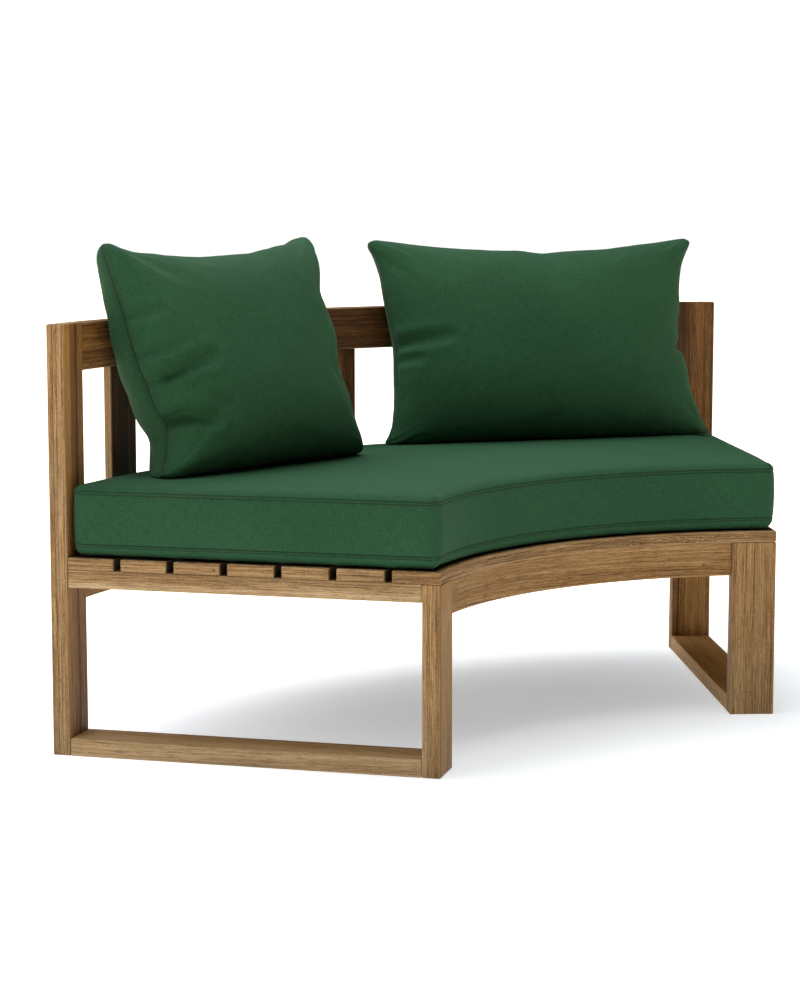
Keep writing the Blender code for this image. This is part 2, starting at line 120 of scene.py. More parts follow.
# Fabric, thread and steel: dark and light colours, the painted shade of the seams and how far it reaches,
# and the pitch of the weave
cushion_tones = ((17, 50, 30), (46, 93, 62))
pillow_tones = ((15, 46, 27), (42, 88, 56))
thread_tones = ((12, 27, 17), (32, 56, 39))
steel_tones = ((168, 168, 170), (205, 205, 208))
seam_shade_green = (10, 24, 15)
sheen_green = (150, 190, 160)
thread_pitch = 0.0017
thread_waver = 0.0012
stitch_shade_reach = (0.0017, 0.0006)
seam_shade_reach = (0.0034, 0.0008)
gutter_shade_reach = (0.018, 0.002)


def srgb(red, green, blue):
    """Linear colour of an 8-bit sRGB one."""
    linear = []
    for channel in (red, green, blue):
        share = channel / 255
        linear.append(share / 12.92 if share <= 0.04045 else ((share + 0.055) / 1.055) ** 2.4)
    return (*linear, 1.0)


def feed(made, inputs):
    """Gives a node's inputs their values, or the sockets that feed them."""
    for key, value in inputs.items():
        if isinstance(value, bpy.types.NodeSocket):
            made.id_data.links.new(value, made.inputs[key])
        else:
            made.inputs[key].default_value = value


def node(kind, inputs, tree=None, **settings):
    """A shader node, in the tree of the sockets that feed it. Kinds leave out the word ShaderNode."""
    if tree is None:
        tree = next(value.id_data for value in inputs.values() if isinstance(value, bpy.types.NodeSocket))
    made = tree.nodes.new("ShaderNode" + kind)
    for name, value in settings.items():
        setattr(made, name, value)
    feed(made, inputs)
    return made


def maths(operation, first, second=0.0, third=0.0):
    """The result of one sum on numbers or sockets."""
    return node("Math", {0: first, 1: second, 2: third}, operation=operation).outputs[0]


def vector_maths(operation, first, second=(0, 0, 0)):
    """The result of one sum on vectors or sockets, which is a number for a length or a dot product."""
    made = node("VectorMath", {0: first, 1: second}, operation=operation)
    return made.outputs["Value" if operation in ("LENGTH", "DOT_PRODUCT") else "Vector"]


def axes_of(vector):
    """The three numbers of a vector, by 0, 1 and 2 or by X, Y and Z."""
    return node("SeparateXYZ", {0: vector}).outputs


def vector_of(*numbers):
    """The vector of two or three numbers or sockets."""
    return node("CombineXYZ", dict(enumerate(numbers))).outputs[0]


def object_place(tree):
    """The shaded point in its object's own axes, which are the frame's at rest."""
    return node("TexCoord", {}, tree).outputs["Object"]


def noise(place, stretch, detail=2.0, roughness=0.5, output="Fac"):
    """A noise texture, stretched by cycles per metre along each axis."""
    scaled = vector_maths("MULTIPLY", place, stretch)
    settings = {"Vector": scaled, "Scale": 1.0, "Detail": detail, "Roughness": roughness}
    return node("TexNoise", settings).outputs[output]


def ring_noise(rings, scale, detail):
    """A noise texture along one number, the same all round each growth ring."""
    settings = {"W": rings, "Scale": scale, "Detail": detail}
    return node("TexNoise", settings, noise_dimensions="1D").outputs["Fac"]


def swayed(place, stretch, reach):
    """A place moved about by a noise, by up to half the reach along each axis."""
    sway = noise(place, stretch, output="Color")
    sway = vector_maths("SUBTRACT", sway, (0.5, 0.5, 0.5))
    return vector_maths("ADD", place, vector_maths("MULTIPLY", sway, reach))


def varied(value, textures):
    """A value raised and lowered by textures: each with its amount, and the middle that it varies about."""
    for texture, amount, middle in textures:
        value = maths("MULTIPLY_ADD", maths("SUBTRACT", texture, middle), amount, value)
    return value


def smooth_step(value, low, high):
    """0 below low, 1 above high, smooth between."""
    return node("MapRange", {"Value": value, "From Min": low, "From Max": high},
                interpolation_type="SMOOTHSTEP").outputs["Result"]


def mixed(share, first, second):
    """A mix of two colours."""
    return node("Mix", {0: share, 6: first, 7: second}, data_type="RGBA").outputs[2]


def mixed_places(share, first, second):
    """A mix of two vectors."""
    return node("Mix", {0: share, 4: first, 5: second}, data_type="VECTOR").outputs[1]


def toned(share, tones):
    """A mix of two 8-bit colours."""
    return mixed(share, *(srgb(*tone) for tone in tones))


def stained(colour, marks):
    """A colour with marks on it: each with how strong it is at most, and its 8-bit colour."""
    for mark, strength, stain in marks:
        colour = mixed(maths("MULTIPLY", mark, strength), colour, srgb(*stain))
    return colour


def ramp(share, stops):
    """The colour at a share of a ramp of 8-bit colours."""
    made = node("ValToRGB", {0: share})
    elements = made.color_ramp.elements
    while len(elements) < len(stops):
        elements.new(0.5)
    for element, (position, colour) in zip(elements, stops):
        element.position = position
        element.color = srgb(*colour)
    return made.outputs["Color"]


def new_group(name, inputs, outputs):
    """An empty node group with named sockets, and its input and output nodes."""
    tree = bpy.data.node_groups.new(name, "ShaderNodeTree")
    for direction, sockets in (("INPUT", inputs), ("OUTPUT", outputs)):
        for label, kind in sockets.items():
            tree.interface.new_socket(name=label, in_out=direction, socket_type="NodeSocket" + kind)
    return tree, tree.nodes.new("NodeGroupInput"), tree.nodes.new("NodeGroupOutput")


def new_material(name):
    """A material with only a Principled shader, and its tree."""
    made = bpy.data.materials.new(name)
    made.use_nodes = True
    return made, made.node_tree


def finish(material, height, bump, depth, inputs):
    """Feeds a material's shader, with the bump of a height too."""
    raised = node("Bump", {"Height": height, "Strength": bump, "Distance": depth}).outputs["Normal"]
    feed(material.node_tree.nodes["Principled BSDF"], {"Normal": raised, **inputs})


def dress(piece, material):
    """Gives a CAD node's object one material."""
    piece.data.materials.clear()
    piece.data.materials.append(material)


def teak_group():
    """Teak: growth rings round a pith, pores and fibres along the grain, and weathered patches.

    Place is (across, along the grain, through) from the timber's middle, shifted so that no two timbers
    are alike, and Section is the same unshifted. Pith is where the rings' centre lies on the two cross
    directions, and between them how far the grain runs off the timber's line. Half is half the
    cross-section, for the arrises, which are lightened partly as worn wood and partly as a painted
    highlight.
    """
    tree, source, result = new_group(
        "teak", {"Place": "Vector", "Section": "Vector", "Pith": "Vector", "Half": "Vector",
                 "Tone": "Float", "Warmth": "Float"},
        {"Color": "Color", "Roughness": "Float", "Height": "Float"})
    place = source.outputs["Place"]
    pith = source.outputs["Pith"]
    bent = swayed(place, (9, 2.2, 9), (grain_sway, 0, grain_sway))
    flat = vector_maths("MULTIPLY", vector_maths("SUBTRACT", bent, pith), (1, 0, 1))
    radius = vector_maths("LENGTH", flat)
    radius = maths("MULTIPLY_ADD", axes_of(bent)["Y"], axes_of(pith)["Y"], radius)
    rings = maths("MULTIPLY", radius, 1 / ring_width)
    uneven = ring_noise(rings, 0.42, 2.0)
    late_wood = maths("FRACT", maths("MULTIPLY_ADD", uneven, 3.0, rings))
    late_wood = maths("POWER", late_wood, 5.0)
    bands = ring_noise(rings, 0.24, 3.0)
    streaks = noise(bent, (330, 4, 330), detail=4.0, roughness=0.75)
    fibre = noise(bent, (640, 24, 640), detail=3.0, roughness=0.75)
    grit = noise(bent, (1000, 260, 1000), detail=1.0)
    pores = smooth_step(noise(bent, (760, 42, 760), detail=1.0), 0.58, 0.70)
    dashes = smooth_step(noise(bent, (520, 9, 520)), 0.60, 0.70)
    patches = noise(place, (16, 3.5, 16), detail=3.0)
    light = varied(source.outputs["Tone"], (
        (bands, 1.05, 0.5), (late_wood, -0.30, 0.0), (streaks, 1.15, 0.5), (fibre, 1.1, 0.5),
        (grit, 0.55, 0.5), (patches, 0.4, 0.5), (dashes, -0.17, 0.0)))
    grey = smooth_step(noise(place, (26, 5, 26), detail=3.0), 0.5, 0.8)
    colour = stained(ramp(light, teak_tones), (
        (pores, 0.4, pore_brown), (grey, 0.22, weathered_grey)))
    warm = vector_maths("MULTIPLY", colour, srgb(*warm_light)[:3])
    colour = mixed(source.outputs["Warmth"], colour, warm)
    # The arrises are lightened, partly as worn wood and partly as a painted highlight
    section = vector_maths("ABSOLUTE", source.outputs["Section"])
    gaps = axes_of(vector_maths("SUBTRACT", source.outputs["Half"], section))
    edge = maths("ADD", maths("ABSOLUTE", gaps["X"]), maths("ABSOLUTE", gaps["Z"]))
    chip = noise(place, (90, 22, 90))
    edge = smooth_step(maths("MULTIPLY_ADD", chip, -0.002, edge), *worn_and_highlight_reach)
    colour = stained(colour, ((edge, 0.4, worn_and_highlight_tan),))
    height = maths("MULTIPLY_ADD", pores, -1.0, maths("MULTIPLY", fibre, 0.5))
    height = maths("MULTIPLY_ADD", late_wood, 0.2, height)
    roughness = maths("MULTIPLY_ADD", fibre, 0.25, 0.5)
    feed(result, {"Color": colour, "Roughness": roughness, "Height": height})
    return tree


TEAK = teak_group()


def ring_place(tree):
    """The shaded point, from the ring's centre."""
    return vector_maths("SUBTRACT", object_place(tree), tuple(ring_centre))


def straight_place(tree, angle, grain_up):
    """(across, along the grain, through) of a straight timber at one angle of the ring."""
    turned = node("VectorRotate", {"Vector": ring_place(tree), "Angle": angle},
                  rotation_type="Z_AXIS").outputs[0]
    if not grain_up:
        return turned
    axes = axes_of(turned)
    return vector_of(axes[0], axes[2], axes[1])


def arc_place(tree, mean_radius):
    """(outwards, along the arc, up) of a bent timber."""
    axes = axes_of(ring_place(tree))
    along = maths("MULTIPLY", maths("ARCTAN2", axes[0], axes[1]), mean_radius)
    square = maths("MULTIPLY", axes[0], axes[0])
    square = maths("MULTIPLY_ADD", axes[1], axes[1], square)
    return vector_of(maths("SQRT", square), along, axes[2])


def outward(tree):
    """The level direction from the ring's centre."""
    return vector_maths("NORMALIZE", vector_maths("MULTIPLY", ring_place(tree), (1, 1, 0)))


def facing(tree, direction, side=0):
    """1 on faces across a direction: that face along it for side 1, against it for -1, or both for 0."""
    normal = node("NewGeometry", {}, tree).outputs["True Normal"]
    share = vector_maths("DOT_PRODUCT", direction, normal)
    share = maths("MULTIPLY", share, side) if side else maths("ABSOLUTE", share)
    return smooth_step(share, 0.6, 0.8)


def painted_board_shade(tree, mean_radius, gap_side):
    """How much painted shade a seat board has: most on its sides in the gaps and on its top under the
    cushion's rim.

    gap_side is 1 or -1 where only the outer or inner side is in a gap, and 0 for both.
    """
    axes = axes_of(arc_place(tree, mean_radius))
    end_gap = maths("SUBTRACT", half_angle * mean_radius, maths("ABSOLUTE", axes["Y"]))

    def under(side_start, end_start, full):
        """1 where that much of the cushion or more covers the board, from starts at its side and end."""
        side = smooth_step(axes["X"], cushion_inner_radius + side_start, cushion_inner_radius + full)
        return maths("MULTIPLY", side, smooth_step(end_gap, end_start, full))

    # Painted shade: full on the sides in the gaps and just under the cushion's rim, a quarter of that
    # further in
    past_rim = maths("MULTIPLY_ADD", under(*rim_shade_fade_reach), -0.75, 1.0)
    covered = maths("MULTIPLY", under(*rim_shade_reach), past_rim)
    covered = maths("MULTIPLY", facing(tree, (0, 0, 1), 1), covered)
    return maths("MAXIMUM", facing(tree, outward(tree), gap_side), covered)


def knot(place, spot, size):
    """1 in a small knot at (along the grain, up)."""
    gap = vector_maths("SUBTRACT", place, (0, *spot))
    distance = vector_maths("LENGTH", vector_maths("MULTIPLY", gap, (0, 0.6, 1)))
    return smooth_step(distance, size, 0.4 * size)


def check(place, start, end, height):
    """1 in a thin broken drying check that wanders along the grain."""
    axes = axes_of(place)
    line = varied(height, ((noise(place, (0, 75, 0), detail=3.0), check_wander, 0.5),))
    gap = maths("ABSOLUTE", maths("SUBTRACT", axes["Z"], line))
    beyond = maths("ABSOLUTE", maths("SUBTRACT", axes["Y"], (start + end) / 2))
    length = smooth_step(beyond, (end - start) / 2, (end - start) / 3)
    share = maths("MULTIPLY", smooth_step(gap, *check_reach), length)
    broken = smooth_step(noise(place, (0, 160, 60)), 0.38, 0.52)
    return maths("MULTIPLY", share, broken)


def wear_teak(node_name, material, place, half, seed, tone, grain, shade=None):
    """Gives a timber its teak, from the place in its grain that its own nodes work out."""
    pith, warmth, changes = grain
    shifted = vector_maths("ADD", place, (0, seed_shift * seed, 0))
    marks = []
    axes = axes_of(place)
    for axis, offset, tone_step, warmth_step in changes:
        # Along the grain a change is painted shade: only the tone, fading in slowly
        if axis == 1:
            share = smooth_step(axes[1], offset - along_grain_shade_fade, offset + along_grain_shade_fade)
            tone = maths("MULTIPLY_ADD", share, tone_step, tone)
            continue
        beyond = maths("GREATER_THAN", axes[axis], offset)
        tone = maths("MULTIPLY_ADD", beyond, tone_step, tone)
        warmth = maths("MULTIPLY_ADD", beyond, warmth_step, warmth)
        jump = vector_maths("MULTIPLY", vector_of(beyond, beyond), stave_shift)
        shifted = vector_maths("ADD", shifted, jump)
        gap = maths("ABSOLUTE", maths("SUBTRACT", axes[axis], offset))
        marks.append((smooth_step(gap, *joint_reach), 0.55, glue_brown))
    marks += [(knot(place, *spot), 0.7, knot_brown) for spot in knots.get(node_name, ())]
    marks += [(check(place, *line), 0.8, check_brown) for line in checks.get(node_name, ())]
    # Painted shade on the seat boards, in their gaps and under the cushion's rim
    if shade is not None:
        marks.append((shade, 0.85, painted_shade_brown))
    inputs = {"Place": shifted, "Section": place, "Pith": pith, "Half": half, "Tone": tone, "Warmth": warmth}
    teak = node("Group", inputs, node_tree=TEAK).outputs
    finish(material, teak["Height"], 0.5, 0.0005, {
        "Base Color": stained(teak["Color"], marks), "Roughness": teak["Roughness"],
        "Specular IOR Level": 0.3})
    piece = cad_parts[node_name]
    dress(piece, material)
    piece.data.shade_smooth()
    piece.data.set_sharp_from_angle(angle=math.radians(30))
    weighted = piece.modifiers.new("flat faces", "WEIGHTED_NORMAL")
    weighted.keep_sharp = True
    weighted.weight = 100


def arc_extent(node_name):
    """Middle radius and half thickness of a bent timber, from its vertices."""
    radii = [(vert.co - ring_centre).xy.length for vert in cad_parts[node_name].data.vertices]
    return (min(radii) + max(radii)) / 2, (max(radii) - min(radii)) / 2


def corners(points):
    """Lowest and highest value of points on each axis."""
    return [[pick(point[axis] for point in points) for axis in range(3)] for pick in (min, max)]


def straight_extent(node_name, angle, grain_up):
    """Middle and half size of a straight timber across, along the grain and through."""
    turn = Matrix.Rotation(angle, 3, "Z")
    low, high = corners([turn @ (vert.co - ring_centre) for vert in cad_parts[node_name].data.vertices])
    order = (0, 2, 1) if grain_up else (0, 1, 2)
    return [(low[axis] + high[axis]) / 2 for axis in order], [(high[axis] - low[axis]) / 2 for axis in order]


# Straight timbers: node, angle of the ring, whether the grain runs up, tone, then what the teak's Pith is,
# its warmth, and the changes in it. A change has its axis, its offset, and the steps in tone and warmth
# beyond it. Across or through the timber it is a joint between glued staves. Along the grain only the
# tone changes, and slowly; this is painted shade, darker where less light reaches. Bent timbers have the
# same but for the angle and the way of the grain.
straight_timbers = [
    ("left_front_leg", -half_angle, True, 1.0,
     ((0.02, 0.003, 0.13), 1.0, ((2, -0.0147, -0.36, -0.6), (2, 0.0062, 0.06, 0.0)))),
    ("right_front_leg", half_angle, True, 0.66, ((0.16, 0.0015, 0.03), 0.45, ((0, 0.001, -0.10, 0.0),))),
    ("left_rear_post", -half_angle, True, 0.56,
     ((0.10, 0.003, 0.12), 1.0,
      ((2, -0.0144, 0.03, -0.9), (0, -0.0125, -0.04, 0.0), (0, 0.014, 0.06, 0.0)))),
    # Painted shade: the right rear post's change along the grain darkens its upper part, above the seat
    ("right_rear_post", half_angle, True, 0.62, ((0.11, 0.006, -0.06), 1.0, ((1, -0.045, -0.35, 0.0),))),
    ("left_bottom_rail", -half_angle, False, 0.88, ((0.06, 0.008, -0.13), 0.3, ())),
    ("right_bottom_rail", half_angle, False, 0.98, ((0.01, 0.012, -0.05), 1.0, ())),
    ("left_side_rail", -half_angle, False, 0.70, ((0.05, 0.012, -0.14), 0.0, ())),
    ("right_side_rail", half_angle, False, 0.60, ((0.02, 0.008, -0.17), 0.4, ())),
    # Painted shade: this upright's step across it darkens all but its left side face, where the pillow
    # shades it
    ("left_back_upright", -upright_angle, True, 0.95,
     ((0.03, 0.003, 0.15), 0.6, ((0, -0.0393, -0.95, 0.4), (0, 0.01, 0.05, 0.0)))),
    # The middle and right uprights' low tones are partly painted shade from the pillows in front of them
    ("middle_back_upright", 0.0, True, 0.30, ((-0.06, 0.008, 0.14), 1.0, ())),
    ("right_back_upright", upright_angle, True, 0.32, ((0.02, 0.008, 0.17), 1.0, ())),
    ("left_bearer", -bearer_angle, False, 0.45, ((0.05, 0.008, 0.13), 0.4, ())),
    ("right_bearer", bearer_angle, False, 0.45, ((-0.05, 0.008, 0.12), 0.4, ())),
]
bent_timbers = [
    ("front_apron", 0.66, ((-0.10, 0.020, -0.12), 0.6, ())),
    ("rear_apron", 0.42, ((0.12, 0.012, -0.10), 0.6, ())),
    # Painted shade: the top back rail's change along the arc darkens it past its left end, where the pillows
    # shade it; its low tone is partly painted shade too
    ("top_back_rail", 0.32, ((-0.05, 0.010, -0.20), 0.9, ((1, -0.35, -0.22, 0.0),))),
    ("front_board", 0.52, ((-0.03, 0.045, -0.07), 0.2, ())),
    ("seat_board_1", 0.60, ((0.05, 0.012, -0.13), 0.1, ())),
    ("seat_board_2", 0.57, ((-0.02, 0.010, -0.15), 0.1, ())),
    ("seat_board_3", 0.60, ((0.04, 0.014, -0.12), 0.1, ())),
    ("seat_board_4", 0.57, ((0.00, 0.010, -0.14), 0.1, ())),
    ("seat_board_5", 0.60, ((0.05, 0.012, -0.13), 0.1, ())),
    ("seat_board_6", 0.62, ((-0.03, 0.010, -0.15), 0.1, ())),
]

# Knots at (along the grain, up) with their size, drying checks from, to and at a height, and the side of
# a board that is in a gap, where only one is: 1 the outer, -1 the inner
knots = {"front_apron": (((0.2931, -0.0095), 0.0030),), "seat_board_4": (((-0.0296, -0.0010), 0.0026),)}
checks = {
    "front_apron": ((-0.078, 0.034, -0.0148),),
    "front_board": ((0.02, 0.42, 0.0015), (0.10, 0.36, -0.0045), (-0.24, -0.08, 0.0035)),
}
gap_sides = {"front_board": 1, "seat_board_6": -1}


def dress_timbers():
    """Teak on every timber. On the ends of bent ones the grain runs outwards."""
    for seed, (name, angle, grain_up, tone, grain) in enumerate(straight_timbers):
        middle, half = straight_extent(name, angle, grain_up)
        material, tree = new_material("teak_" + name)
        place = vector_maths("SUBTRACT", straight_place(tree, angle, grain_up), middle)
        wear_teak(name, material, place, half, seed, tone, grain)
    for seed, (name, tone, grain) in enumerate(bent_timbers, bent_seed):
        radius, half_thickness = arc_extent(name)
        low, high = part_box(name)
        material, tree = new_material("teak_" + name)
        place = vector_maths("SUBTRACT", arc_place(tree, radius), (radius, 0, (low.z + high.z) / 2))
        axes = axes_of(place)
        tangent = vector_maths("CROSS_PRODUCT", outward(tree), (0, 0, 1))
        place = mixed_places(facing(tree, tangent), place, vector_of(end_depth, axes[0], axes[2]))
        half = (half_thickness, 1, (high.z - low.z) / 2)
        # The seat boards get painted shade in their gaps and under the cushion's rim
        shade = painted_board_shade(tree, radius, gap_sides.get(name, 0)) if "board" in name else None
        wear_teak(name, material, place, half, seed, tone, grain, shade)


def dress_screws():
    """Brushed stainless steel on the screws."""
    material, tree = new_material("screw_steel")
    turning = noise(object_place(tree), (900, 900, 5000))
    finish(material, turning, 0.2, 0.0001, {
        "Base Color": toned(turning, steel_tones), "Metallic": 1.0,
        "Roughness": maths("MULTIPLY_ADD", turning, 0.3, 0.22)})
    for name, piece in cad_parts.items():
        if name.startswith("seat_screw"):
            dress(piece, material)


def add_piece(name, data):
    """A new object in the scene."""
    piece = bpy.data.objects.new(name, data)
    bpy.context.scene.collection.objects.link(piece)
    return piece


def finished_mesh(name, shape):
    """The mesh of a bmesh, which ends there."""
    mesh = bpy.data.meshes.new(name)
    shape.to_mesh(mesh)
    shape.free()
    return mesh


def make_camera():
    """The photograph's camera."""
    data = bpy.data.cameras.new("camera")
    data.lens = camera_lens
    data.sensor_width = camera_sensor
    camera = add_piece("camera", data)
    camera.location = camera_place
    camera.rotation_euler = (math.radians(camera_tilt_deg), 0, math.radians(camera_turn_deg))
    bpy.context.scene.camera = camera


def make_light():
    """Soft studio light: panels, and a faint fill from a background that looks white."""
    world = bpy.data.worlds.new("studio")
    bpy.context.scene.world = world
    world.use_nodes = True
    tree = world.node_tree
    seen = node("LightPath", {}, tree).outputs["Is Camera Ray"]
    strength = maths("MULTIPLY_ADD", seen, sky_seen - sky_fill, sky_fill)
    feed(tree.nodes["Background"], {"Color": (1, 1, 1, 1), "Strength": strength})
    for index, (power, size, place, aim, colour) in enumerate(light_panels):
        name = f"light_panel_{index}"
        light = bpy.data.lights.new(name, "AREA")
        light.shape = "SQUARE"
        light.size = size
        light.energy = power
        light.color = colour
        lamp = add_piece(name, light)
        lamp.location = place
        lamp.rotation_euler = (Vector(aim) - Vector(place)).to_track_quat("-Z", "Y").to_euler()


def make_floor():
    """A pale matt floor, far wider than the view, that glows white away from the bench."""
    material, tree = new_material("pale_floor")
    distance = vector_maths("SUBTRACT", object_place(tree), floor_glow_middle)
    distance = vector_maths("LENGTH", distance)
    glow = smooth_step(distance, *floor_glow_reach)
    glow = maths("MULTIPLY_ADD", glow, floor_glow_far - floor_glow_near, floor_glow_near)
    feed(tree.nodes["Principled BSDF"], {
        "Base Color": floor_grey, "Roughness": 0.9, "Specular IOR Level": 0.0, "Emission Strength": glow,
        "Emission Color": mixed(smooth_step(distance, *floor_tint_reach), *floor_tints)})
    shape = bmesh.new()
    bmesh.ops.create_circle(shape, cap_ends=True, segments=96, radius=floor_radius)
    floor = add_piece("studio_floor", finished_mesh("studio_floor", shape))
    floor.data.materials.append(material)


# Seat cushion: plan, base and crown, cells of its panels, seams, and stitches with the share of the length
# and of the thickness at each of their sections
cushion_inner_radius = 0.6615
cushion_outer_radius = 1.2773
cushion_depth = cushion_outer_radius - cushion_inner_radius
cushion_end_setback = 0.0025
cushion_base = 0.3291
cushion_corner_radius = 0.019
cushion_crown = 0.0012
cushion_columns = 120
cushion_rows = 52
cushion_edge_cell = 0.004
cushion_edge_share = 0.003
cushion_seams = (0.0205, 0.1065)
twin_stitch_offset = 0.0021
stitch_heights = [seam + side * twin_stitch_offset for seam in cushion_seams for side in (-1, 1)]
groove_half_width = 0.0011
groove_depth = 0.0015
stitch_pitch = 0.0042
stitch_length = 0.0030
stitch_thickness = 0.0006
stitch_sections = ((-0.5, 0.35), (-0.28, 1.0), (0.28, 1.0), (0.5, 0.35))

# Profile of the cushion's wall between the panels: height over the base, inset from the plan's outline
wall_profile = (
    (0.0, 0.0240), (0.0014, 0.0150), (0.0048, 0.0078), (0.0092, 0.0031), (0.0142, 0.0008),
    (0.034, -0.0008), (0.048, -0.0015), (0.0635, -0.0018), (0.079, -0.0015), (0.093, -0.0008),
    (0.1112, 0.0008), (0.1152, 0.0030), (0.1183, 0.0075), (0.1200, 0.0145), (0.1207, 0.0240),
)

# Cloth of the covers
cloth_steps = 20
cloth_settings = {
    "quality": 6, "mass": 0.3, "tension_stiffness": 18, "compression_stiffness": 18, "shear_stiffness": 6,
    "bending_stiffness": 0.6, "use_pressure": True, "pin_stiffness": 1.0,
}


def round_corner(first_gap, second_gap, reach):
    """Distances from two edges that meet, moved so that the corner between them becomes round."""
    if first_gap >= reach or second_gap >= reach:
        return first_gap, second_gap
    first = 1 - first_gap / reach
    second = 1 - second_gap / reach
    return (reach * (1 - first * math.sqrt(1 - second ** 2 / 2)),
            reach * (1 - second * math.sqrt(1 - first ** 2 / 2)))


def graded_steps(length, count, edge_cell):
    """Distances from one edge to the other, with finer cells beside both edges."""
    shares = []
    for step in range(count + 1):
        place = step / count
        shares.append(place - math.sin(2 * math.pi * place) / (2 * math.pi))
    blend = 1 - edge_cell * count / length
    return [length * (blend * share + (1 - blend) * step / count) for step, share in enumerate(shares)]


def running_lengths(points):
    """Lengths along a line of points, from its first."""
    lengths = [0.0]
    for first, second in zip(points, points[1:]):
        lengths.append(lengths[-1] + (second - first).length)
    return lengths


def cushion_point(radial, share, inset, height):
    """A point of the cushion, some way out from its front edge and a share of the way along the arc.

    The inset draws the whole outline in. Near a plan corner the point moves onto the corner's round.
    """
    outer_side = radial > cushion_depth / 2
    side_gap = cushion_depth - radial if outer_side else radial
    radius = cushion_inner_radius + radial
    reach = half_angle - math.asin(cushion_end_setback / radius)
    longest = radius * math.sin(half_angle) - cushion_end_setback
    end_gap = radius * math.sin(half_angle - abs(2 * share - 1) * reach) - cushion_end_setback
    side_gap = inset + side_gap * (1 - 2 * inset / cushion_depth)
    end_gap = inset + end_gap * (1 - inset / longest)
    end_gap, side_gap = round_corner(end_gap, side_gap, cushion_corner_radius)
    radius = cushion_outer_radius - side_gap if outer_side else cushion_inner_radius + side_gap
    angle = half_angle - math.asin((cushion_end_setback + end_gap) / radius)
    angle *= -1 if share < 0.5 else 1
    return Vector((radius * math.sin(angle), radius * math.cos(angle), cushion_base + height)) + ring_centre


def cushion_wall():
    """Rings of the wall, upwards: height, inset, and whether a line of stitches runs in them."""
    rings = [(height, inset, False) for height, inset in wall_profile]
    for line in stitch_heights:
        rings += [(line - groove_half_width, 0.0, False), (line, groove_depth, True),
                  (line + groove_half_width, 0.0, False)]
    return sorted(rings)


def build_cushion():
    """The boxed cushion's mesh, and the vertices of each stitch line."""
    rows = graded_steps(cushion_depth, cushion_rows, cushion_edge_cell)
    shares = graded_steps(1.0, cushion_columns, cushion_edge_share)
    shape = bmesh.new()
    weave = shape.loops.layers.float_vector.new("weave")

    def place(column, row, inset, height):
        return shape.verts.new(cushion_point(rows[row], shares[column], inset, height))

    loop = [(column, 0) for column in range(cushion_columns)]
    loop += [(cushion_columns, row) for row in range(cushion_rows)]
    loop += [(column, cushion_rows) for column in range(cushion_columns, 0, -1)]
    loop += [(0, row) for row in range(cushion_rows, 0, -1)]
    wall = cushion_wall()
    rings = [[place(column, row, inset, height) for column, row in loop] for height, inset, stitched in wall]
    around = running_lengths([vert.co for vert in rings[0] + rings[0][:1]])
    upwards = running_lengths([ring[0].co for ring in rings])
    for level, (lower, upper) in enumerate(zip(rings, rings[1:])):
        for index in range(len(loop)):
            after = (index + 1) % len(loop)
            face = shape.faces.new((lower[index], lower[after], upper[after], upper[index]))
            places = ((index, level), (index + 1, level), (index + 1, level + 1), (index, level + 1))
            for corner, (along, rise) in zip(face.loops, places):
                corner[weave] = (around[along], upwards[rise], 0)
    for end, crown in ((0, 0), (-1, cushion_crown)):
        height, inset, stitched = wall[end]
        grid = dict(zip(loop, rings[end]))
        for column in range(cushion_columns + 1):
            for row in range(cushion_rows + 1):
                if (column, row) not in grid:
                    across = 2 * shares[column] - 1
                    through = 2 * rows[row] / cushion_depth - 1
                    rise = crown * math.sqrt((1 - across ** 2) * (1 - through ** 2))
                    grid[column, row] = place(column, row, inset, height + rise)
        for column in range(cushion_columns):
            for row in range(cushion_rows):
                verts = [grid[column, row], grid[column + 1, row],
                         grid[column + 1, row + 1], grid[column, row + 1]]
                face = shape.faces.new(verts if crown else verts[::-1])
                for corner in face.loops:
                    corner[weave] = (corner.vert.co.x, corner.vert.co.y, 0)
    bmesh.ops.recalc_face_normals(shape, faces=shape.faces)
    shape.verts.index_update()
    stitched_rings = [ring for ring, (height, inset, stitched) in zip(rings, wall) if stitched]
    stitch_lines = [[vert.index for vert in ring] for ring in stitched_rings]
    return finished_mesh("seat_cushion_cover", shape), stitch_lines


def rest_flat(piece, level):
    """Flattens the piece where it lies on a level."""
    for vert in piece.data.vertices:
        vert.co.z = max(vert.co.z, level)


def inflate(piece, pinned, pressure, growth, limit):
    """Presses the cover outwards like cloth over its filling, with the seams held where they are."""
    before = [vert.co.copy() for vert in piece.data.vertices]
    group = piece.vertex_groups.new(name="seams")
    group.add(pinned, 1.0, "REPLACE")
    cloth = piece.modifiers.new("cloth", "CLOTH")
    for name, value in cloth_settings.items():
        setattr(cloth.settings, name, value)
    cloth.settings.uniform_pressure_force = pressure
    cloth.settings.shrink_min = -growth
    cloth.settings.effector_weights.gravity = 0
    cloth.settings.vertex_group_mass = group.name
    cloth.collision_settings.use_collision = False
    scene = bpy.context.scene
    for step in range(1, cloth_steps + 1):
        scene.frame_set(step)
    moved = piece.evaluated_get(bpy.context.evaluated_depsgraph_get()).to_mesh()
    after = [vert.co.copy() for vert in moved.vertices]
    piece.modifiers.remove(cloth)
    piece.vertex_groups.remove(group)
    scene.frame_set(1)
    for vert, old, new in zip(piece.data.vertices, before, after):
        step = new - old
        if step.length > 0:
            vert.co = old + step * (limit / (limit + step.length))


def subdivide(piece):
    """One level of subdivision surface on the piece."""
    smooth = piece.modifiers.new("subdivision", "SUBSURF")
    smooth.levels = 1
    smooth.render_levels = 1
    piece.data.shade_smooth()


